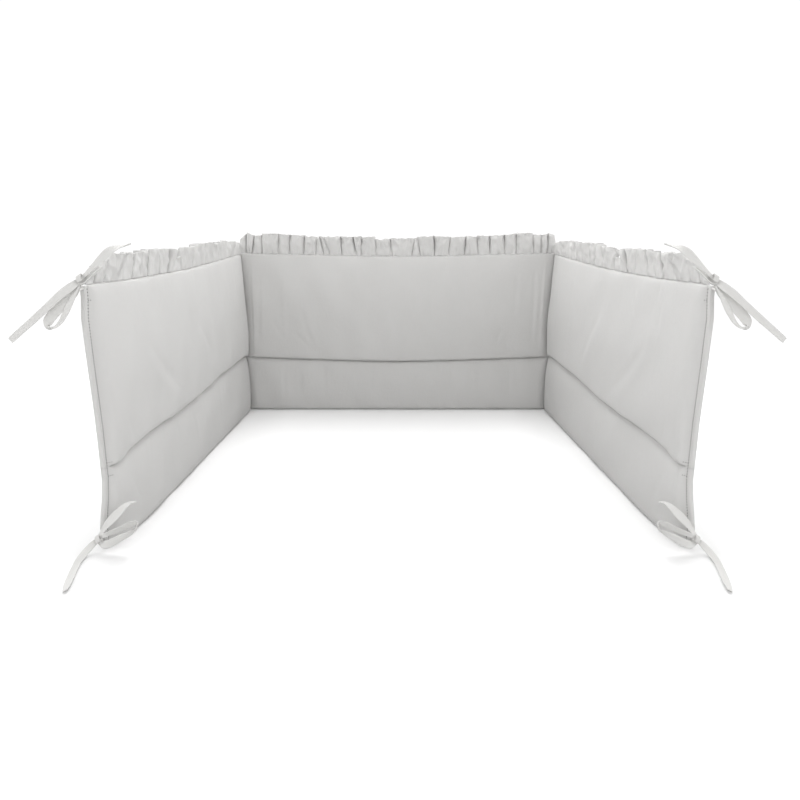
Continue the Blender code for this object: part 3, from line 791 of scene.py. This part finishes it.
topLoop = [
    (-329.9, -612, 310.2, 0, 0.45), (-335.5, -611, 301.9, 5, 0.7), (-344.2, -610.2, 293, 6, 0.95),
    (-355.5, -609.8, 283.6, 6, 1.08), (-365.4, -609.6, 274.5, 8, 1.1),
    (-370, -609.8, 268, 20, 1.04), (-370, -610.8, 263, 55, 0.92), (-364.6, -612.2, 262.4, 90, 0.82),
    (-356, -613.8, 267.8, 116, 0.9), (-349.5, -614.2, 276.3, 124, 0.98),
    (-343.6, -614.2, 285.9, 126, 0.98), (-337.9, -613.8, 295.4, 118, 0.85),
    (-332.4, -613.2, 304.2, 108, 0.6), (-329.3, -612.5, 310.3, 105, 0.45),
]
topStrand = [  # the seam's own end of the strip, seen edge-on in front of the frill
    (-328.7, -614.5, 307.8, 82, 1), (-324.8, -615, 309.1, 82, 1), (-318.6, -615.5, 313.9, 82, 1),
    (-314, -615, 318.6, 84, 1), (-310.6, -613, 321.7, 86, 1), (-306.5, -609.5, 325.8, 88, 1),
]
topTuck = [  # the same end folded back on itself, in the shade between tail and strand
    (-328.8, -611.8, 309.2, 25, 0.8), (-324.3, -611.2, 312.6, 22, 0.75),
    (-320.2, -610.6, 315.9, 20, 0.75), (-316.6, -610, 318.9, 20, 0.7),
    (-312.3, -609, 322.5, 20, 0.6), (-309.3, -608, 325.1, 20, 0.4),
]
bottomRoot = 0.014
bottomKnot = (-0.3438, -0.6110, 0.0163)
bottomFacing = (-0.42, 0.80, -0.42)
bottomLongTail = [
    (-345.2, -610, 15.8, 20, 0.6), (-350.4, -612.5, 11.9, 15, 0.8), (-355.1, -618.5, 7.1, 25, 0.9),
    (-359, -629, 2.2, 38, 0.95), (-356.4, -649, 1.2, 38, 0.92), (-351.3, -671.7, 1.2, 36, 0.88),
    (-345.6, -692.1, 2.5, 46, 0.76), (-343, -701, 3.1, 56, 0.62),
]
bottomShortTail = [
    (-344.6, -611.5, 17.8, -25, 0.5), (-337, -612.5, 29.2, -30, 0.6),
    (-330.8, -613, 37.3, -22, 0.85), (-323.3, -613.5, 45, -16, 1), (-315.9, -613, 52.2, -22, 0.95),
    (-308.1, -612.2, 59.2, -48, 0.85), (-301.8, -611.6, 62.5, -68, 0.7),
    (-296.8, -611, 63.4, -80, 0.5),
]
bottomLoop = [
    (-343, -611.5, 19.1, -10, 0.45), (-333.6, -613.5, 23.7, 40, 0.7),
    (-324, -615.5, 28.2, 50, 0.95), (-311.3, -617, 34.4, 52, 1), (-301.9, -617.5, 39.1, 48, 0.95),
    (-296.3, -617.8, 40.5, 66, 0.85), (-297.2, -617.8, 34.5, 100, 0.85),
    (-304.9, -617.2, 27.8, 128, 0.95), (-316.7, -616.5, 21.2, 146, 1), (-328, -616, 15, 158, 1),
    (-337.2, -615, 11.8, 164, 0.95), (-343, -612.5, 13, 150, 0.55),
]


def pathFrames(rows, facing, step):
    # even places on the curve through the rows; the strip's width stands square to the path and to
    # facing, then turns about the path by the twist
    rows = np.array(rows) / (1000, 1000, 1000, 1, 1)
    at = travelled(rows[:, :3])
    places = np.linspace(0, at[-1], max(8, int(at[-1] / step)) + 1)
    curve = smoothRead(at, rows, places)
    points, twist, share = curve[:, :3], np.radians(curve[:, 3:4]), curve[:, 4]
    tangent = unit(np.gradient(points, axis=0))
    square = unit(np.cross(facing, tangent))
    wide = square * np.cos(twist) + np.cross(tangent, square) * np.sin(twist)
    return places, points, wide, np.cross(tangent, wide), tangent, share


def flatTube(frames, strip, plan, seed, openEnd=False):
    # a flattened tube of cotton along a path: a rounded oblong section, hollowed a little, narrower
    # where it leaves the knot, and turned back into itself where its end is open
    places, points, wide, thick, tangent, share = frames
    width, cloth, hollow, pinch = strip
    length = places[-1]
    angle = ringAngles(plan["sectors"])
    flatX, flatY = (np.sign(way) * np.abs(way) ** power
                    for way, power in zip((np.cos(angle), np.sin(angle)), plan["squareness"]))
    phases = np.random.default_rng(seed).uniform(0, 2 * pi, 4)
    sway, ripple, swell, sag = (size * np.sin(places / pitch + phase)
                                for (size, pitch), phase in zip(plan["uneven"], phases))
    near = fading(places, pinch, plan["pinchReach"])
    taper, flat, gape = (fading(length - places, *plan[name]) * openEnd
                         for name in ("endTaper", "endFlat", "endGape"))
    sizeX = width / 2 * (1 + sway + ripple) * (1 - near - taper) * share
    sizeY = cloth / 2 * (1 - flat) * (1 + swell + plan["pinchSwell"] * near) + gape
    bend = (hollow * (1 + sag))[:, None] * (1 - flatX**2)
    ringX, ringY = sizeX[:, None] * flatX, sizeY[:, None] * flatY + bend
    if openEnd:
        # the inside wall runs back into the dark
        back, shareX, shareY = np.array(plan["mouth"]).T[..., None]
        points = np.concatenate([points, points[-1] - back * tangent[-1]])
        wide, thick = (np.concatenate([way, np.repeat(way[-1:], len(back), axis=0)])
                       for way in (wide, thick))
        places = np.concatenate([places, length + back[:, 0]])
        ringX = np.concatenate([ringX, shareX * ringX[-1]])
        ringY = np.concatenate([ringY, bend[-1] + shareY * (ringY[-1] - bend[-1])])
    ring = points[:, None] + ringX[..., None] * wide[:, None] + ringY[..., None] * thick[:, None]
    return ringShell(ring, unrolled(ring, places), flip=True), length


def turned(points, angle):
    # about the Y axis
    c, s = cos(angle), sin(angle)
    return points @ np.array([[c, 0, -s], [0, 1, 0], [s, 0, c]])


def knotWrap(centre, half, turn, wrap, plan, seed):
    # a strip wound once and a bit round the knot's lump, as a flat spiral
    width, tilt, sweep, lift = wrap
    angle = np.linspace(-sweep / 2, sweep / 2, plan["wrapPoints"])
    grow = lift + plan["wrapGrowth"] * np.linspace(-1, 1, len(angle))
    local = np.stack([plan["wrapSway"] * np.sin(angle), (half[1] + grow) * np.cos(angle),
                      (half[2] + grow) * np.sin(angle)], -1)
    path = turned(turned(local, tilt), turn) + centre
    tangent = unit(np.gradient(path, axis=0))
    wide = turned(turned(np.array([1.0, 0.0, 0.0]), tilt), turn)
    wide = unit(wide - (tangent @ wide)[:, None] * tangent)
    return flatTube((travelled(path), path, wide, np.cross(tangent, wide), tangent, 1),
                    (width, *plan["wrap"]), plan, seed)


def knotLump(centre, half, turn):
    # an ellipsoid under the wraps, so that nothing shows through
    rings, size, pole = 15, 16, 0.04
    along = np.linspace(pole, pi - pole, rings)[:, None]
    angle = ringAngles(size)
    ball = np.stack([-np.cos(along) * half[0] + 0 * angle, np.sin(along) * np.cos(angle) * half[1],
                     np.sin(along) * np.sin(angle) * half[2]], -1)
    cloth = np.stack(np.broadcast_arrays(along * 0.006, np.linspace(0, 0.03, size + 1)), -1)
    return ringShell(turned(ball, turn) + centre, cloth)


def rootRows(panel, up, knot, plan):
    # straight out of the front seam, then into the knot
    end, up = np.array(panel.length), np.array(up)
    forward, outward = panel.freeShape(end, up)
    out = plan["rootGap"] + np.linspace(0, plan["rootLength"], 3)
    seam = [panel.place(end + forward + step, -outward, up) for step in out]
    return [(*(1000 * point), 90, 1) for point in (*seam, np.array(knot))]


def fabricTie(name, node, knot, facing, rootUp, tails, loop, strands, mirror, plan, seed):
    half, turn = np.array(plan["knotHalf"]), -plan["knotTurn"]

    def strip(rows, kind, number, openEnd=False):
        frames = pathFrames(rows, facing, plan["step"])
        return flatTube(frames, plan[kind], plan, seed + number, openEnd)

    parts = [strip(rows, "tail", 1 + number, openEnd=True) for number, rows in enumerate(tails)]
    parts += [strip(loop, "loop", 5), strip(rootRows(planes[1], rootUp, knot, plan), "root", 6)]
    parts += [strip(rows, "strand", 7) for rows in strands]
    strips = sum(len(shell[0]) for shell, length in parts)
    parts += [knotWrap(knot, half, turn, wrap, plan, seed + 8 + number)
              for number, wrap in enumerate(plan["wraps"])]
    shells = [shell for shell, length in parts] + [knotLump(knot, plan["lump"] * half, turn)]
    points, faces, cloth = joinShells(shells)
    # painted shade on the strips where they leave the knot, weaker on the knot itself
    share, ring, reach = plan["knotShade"]
    away = np.linalg.norm(points - knot, axis=1)
    shade = share * np.exp(-(((away - ring) / reach) ** 2))
    shade[strips:] *= plan["wrapShade"]
    points[:, 2] = np.maximum(points[:, 2], plan["floorGap"])
    if mirror < 0:
        points = points * (-1, 1, 1)
        faces, cloth = faces[:, ::-1], cloth[:, ::-1]
    piece = addPiece(name, (points, faces, cloth), tieCotton, "tie_cotton", shade=shade)
    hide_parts(node)


for side, mirror in (("left", 1), ("right", -1)):
    fabricTie(side + "TopTie", side + "_top_tie", topKnot, topFacing, topRoot,
              (topLongTail, topShortTail), topLoop, (topStrand, topTuck), mirror,
              tiePlan, 401)
    fabricTie(side + "BottomTie", side + "_bottom_tie", bottomKnot, bottomFacing, bottomRoot,
              (bottomLongTail, bottomShortTail), bottomLoop, (), mirror, tiePlan, 431)
print("ties knotted")


# Topstitching and bar tacks

stitchPlan = {
    "length": 0.0025,
    "tackShare": 0.44,  # of that length, in a bar tack
    "pitch": 0.0034,
    "radius": 0.00048,
    "taper": (0.35, 0.9, 1.0, 0.9, 0.35),  # of the radius, from ring to ring
    "bow": (1.1, 0.7),  # of the radius: how far the middle rises, and how deep the ends lie
    "sides": 6,
    "mapWidth": 0.0016,
    "sink": 0.00010,
    "probe": 0.0008,  # between places on the cloth that tell its slope
    "reach": (0.0050, 0.3010),
    # bar tacks: height, and places of their stitches from the front end
    "tacks": [(0.1035, (0.0050, 0.0068, 0.0084, 0.0100)),
              (0.0875, (0.0052, 0.0070, 0.0086, 0.0102)),
              (0.2890, (0.0068, 0.0086)), (0.0330, (0.0068, 0.0086))],
}


def stitchRow(panel, side, along, up, acrossPanel, plan):
    # each stitch is a short thread bowed out of the cloth: a tube whose ends dip back under the
    # surface
    steps = plan["probe"] * np.array([(0, 0), (1, 0), (0, 1)])
    steps = steps if acrossPanel else steps[:, ::-1]
    here, ahead, other = (panel.face(along + a, up + u, side, plan["sink"]) for a, u in steps)
    line = unit(ahead - here)
    normal = unit(np.cross(line, other - here))
    normal *= np.sign(normal[:, :2] @ (side * panel.across))[:, None]
    axes = np.stack([line, np.cross(normal, line), normal], axis=1)[:, None]
    radius, size = plan["radius"] * np.array(plan["taper"])[:, None], plan["sides"]
    rings, count = len(radius), len(along)
    share = np.linspace(-1, 1, rings)[:, None]
    rise, depth = plan["bow"]
    bow = plan["radius"] * (rise * (1 - share**4) - depth)
    angle = ringAngles(size)
    reach = share * plan["length"] / 2 * (plan["tackShare"] if acrossPanel else 1)
    local = np.broadcast_arrays(reach, radius * np.cos(angle), bow + radius * np.sin(angle))
    points = here[:, None, None] + np.stack(local, -1) @ axes
    cloth = np.broadcast_arrays(reach, np.linspace(0, plan["mapWidth"], size + 1))
    corners = np.stack(cloth, -1).reshape(-1, 2)[ringFaces(rings, size, 1)]
    faces = ringFaces(rings, size) + np.arange(count)[:, None, None] * rings * size
    return points.reshape(-1, 3), faces.reshape(-1, 4), np.tile(corners, (count, 1, 1))


def stitching(panel, plan):
    shells = []
    up = np.arange(*plan["reach"], plan["pitch"])
    end = np.full_like(up, panel.length - panelPlan["topstitch"][0])
    for side in (1, -1):
        shells.append(stitchRow(panel, side, end, up, False, plan))
        for level, places in plan["tacks"]:
            row = panel.length - np.array(places)
            shells.append(stitchRow(panel, side, row, np.full_like(row, level), True, plan))
    addPiece(panel.name + "Topstitching", joinShells(shells), seamThread, "panel_cotton")


for plane in planes[1:]:
    stitching(plane, stitchPlan)
print("seams stitched")


# Studio

studio = {
    "paper": (0.94, 0.94, 0.94, 1.0),
    "paperBounce": (0.51, 0.51, 0.51, 1.0),  # a darker paper for the light that it throws back
    "paperGlow": 1.05,
    # where the paper fades into plain white, round a middle in front of the origin
    "glowReach": (0.85, 1.5),
    "glowShift": (0.0, 0.3, 0.0),
    "floorHalf": 14.0,
    "floorLevel": -0.0002,
    "sky": (2.34, 2.30, 1.35),  # sideways, forwards and backwards
    "skyShown": 1.05,
    "softbox": 56.0,
}


def paperMaterial():
    # white paper to the eye; the light bounced up from it is that of a darker one
    material, tree = newMaterial("studioPaper")
    tree.nodes.remove(tree.nodes["Principled BSDF"])
    white = addNode(tree, "ShaderNodeBsdfDiffuse", {}, {"Color": studio["paper"]})
    dark = addNode(tree, "ShaderNodeBsdfDiffuse", {}, {"Color": studio["paperBounce"]})
    seen = addNode(tree, "ShaderNodeLightPath", {}, {}, "Is Camera Ray")
    place = addNode(tree, "ShaderNodeTexCoord", {}, {}, "Object")
    moved = addNode(tree, "ShaderNodeVectorMath", {"operation": "ADD"},
                    [place, studio["glowShift"]])
    away = addNode(tree, "ShaderNodeVectorMath", {"operation": "LENGTH"}, [moved], "Value")
    low, high = studio["glowReach"]
    far = addNode(tree, "ShaderNodeMapRange", {"interpolation_type": "SMOOTHSTEP"},
                  {"Value": away, "From Min": low, "From Max": high})
    glow = addNode(tree, "ShaderNodeEmission", {}, {"Strength": studio["paperGlow"]})
    shown = addNode(tree, "ShaderNodeMixShader", {}, [far, white, glow])
    paper = addNode(tree, "ShaderNodeMixShader", {}, [seen, dark, shown])
    setSockets(tree, tree.nodes["Material Output"], {"Surface": paper})
    return material


def floorSheet():
    half, level = studio["floorHalf"], studio["floorLevel"]
    mesh = bpy.data.meshes.new("studioFloor")
    corners = [(x * half, y * half, level) for x, y in ((-1, -1), (1, -1), (1, 1), (-1, 1))]
    mesh.from_pydata(corners, [], [(0, 1, 2, 3)])
    mesh.materials.append(paperMaterial())
    floor = addObject("studioFloor", mesh)


def areaLight(name, place, target, size, power):
    light = bpy.data.lights.new(name, "AREA")
    assign(light, {"shape": "SQUARE", "size": size, "energy": power})
    turn = (Vector(target) - Vector(place)).to_track_quat("-Z", "Y").to_euler()
    assign(addObject(name, light), {"location": place, "rotation_euler": turn})


def studioSky():
    # brightness by direction: the squares of the ways sideways, forwards and backwards, fading
    # overhead with the cube of the height; plain white where it is looked at
    world = bpy.data.worlds.new("studioSky")
    bpy.context.scene.world = world
    world.use_nodes = True
    tree = world.node_tree
    towards = addNode(tree, "ShaderNodeTexCoord", {}, {}, "Generated")
    x, y, z = towards.part("X"), towards.part("Y"), towards.part("Z")
    ways = x, y.maths("MINIMUM", y, 0.0), y.maths("MAXIMUM", y, 0.0)
    side, front, rear = (size * (way * way) for size, way in zip(studio["sky"], ways))
    glow = (side + front + rear) * (1 - z.maths("POWER", abs(z), 3.0))
    seen = addNode(tree, "ShaderNodeLightPath", {}, {}, "Is Camera Ray")
    shown = glow * (1 - seen) + studio["skyShown"] * seen
    setSockets(tree, tree.nodes["Background"], {"Strength": shown, "Color": (1.0, 1.0, 1.0, 1.0)})


floorSheet()
studioSky()
areaLight("softbox", (0.0, 0.5, 2.4), (0.0, -0.2, 0.0), 1.8, studio["softbox"])

camera = assign(bpy.data.cameras.new("camera"), {
    "lens": 30.965, "sensor_width": 36.0, "shift_x": 0.0031, "clip_start": 0.05, "clip_end": 100.0,
})
bpy.context.scene.camera = assign(addObject("camera", camera), {
    "location": (0.0, -1.3346, 0.3788), "rotation_euler": (radians(74.85), 0.0, 0.0),
})
bpy.context.scene.view_settings.view_transform = "Standard"
print("studio lit")
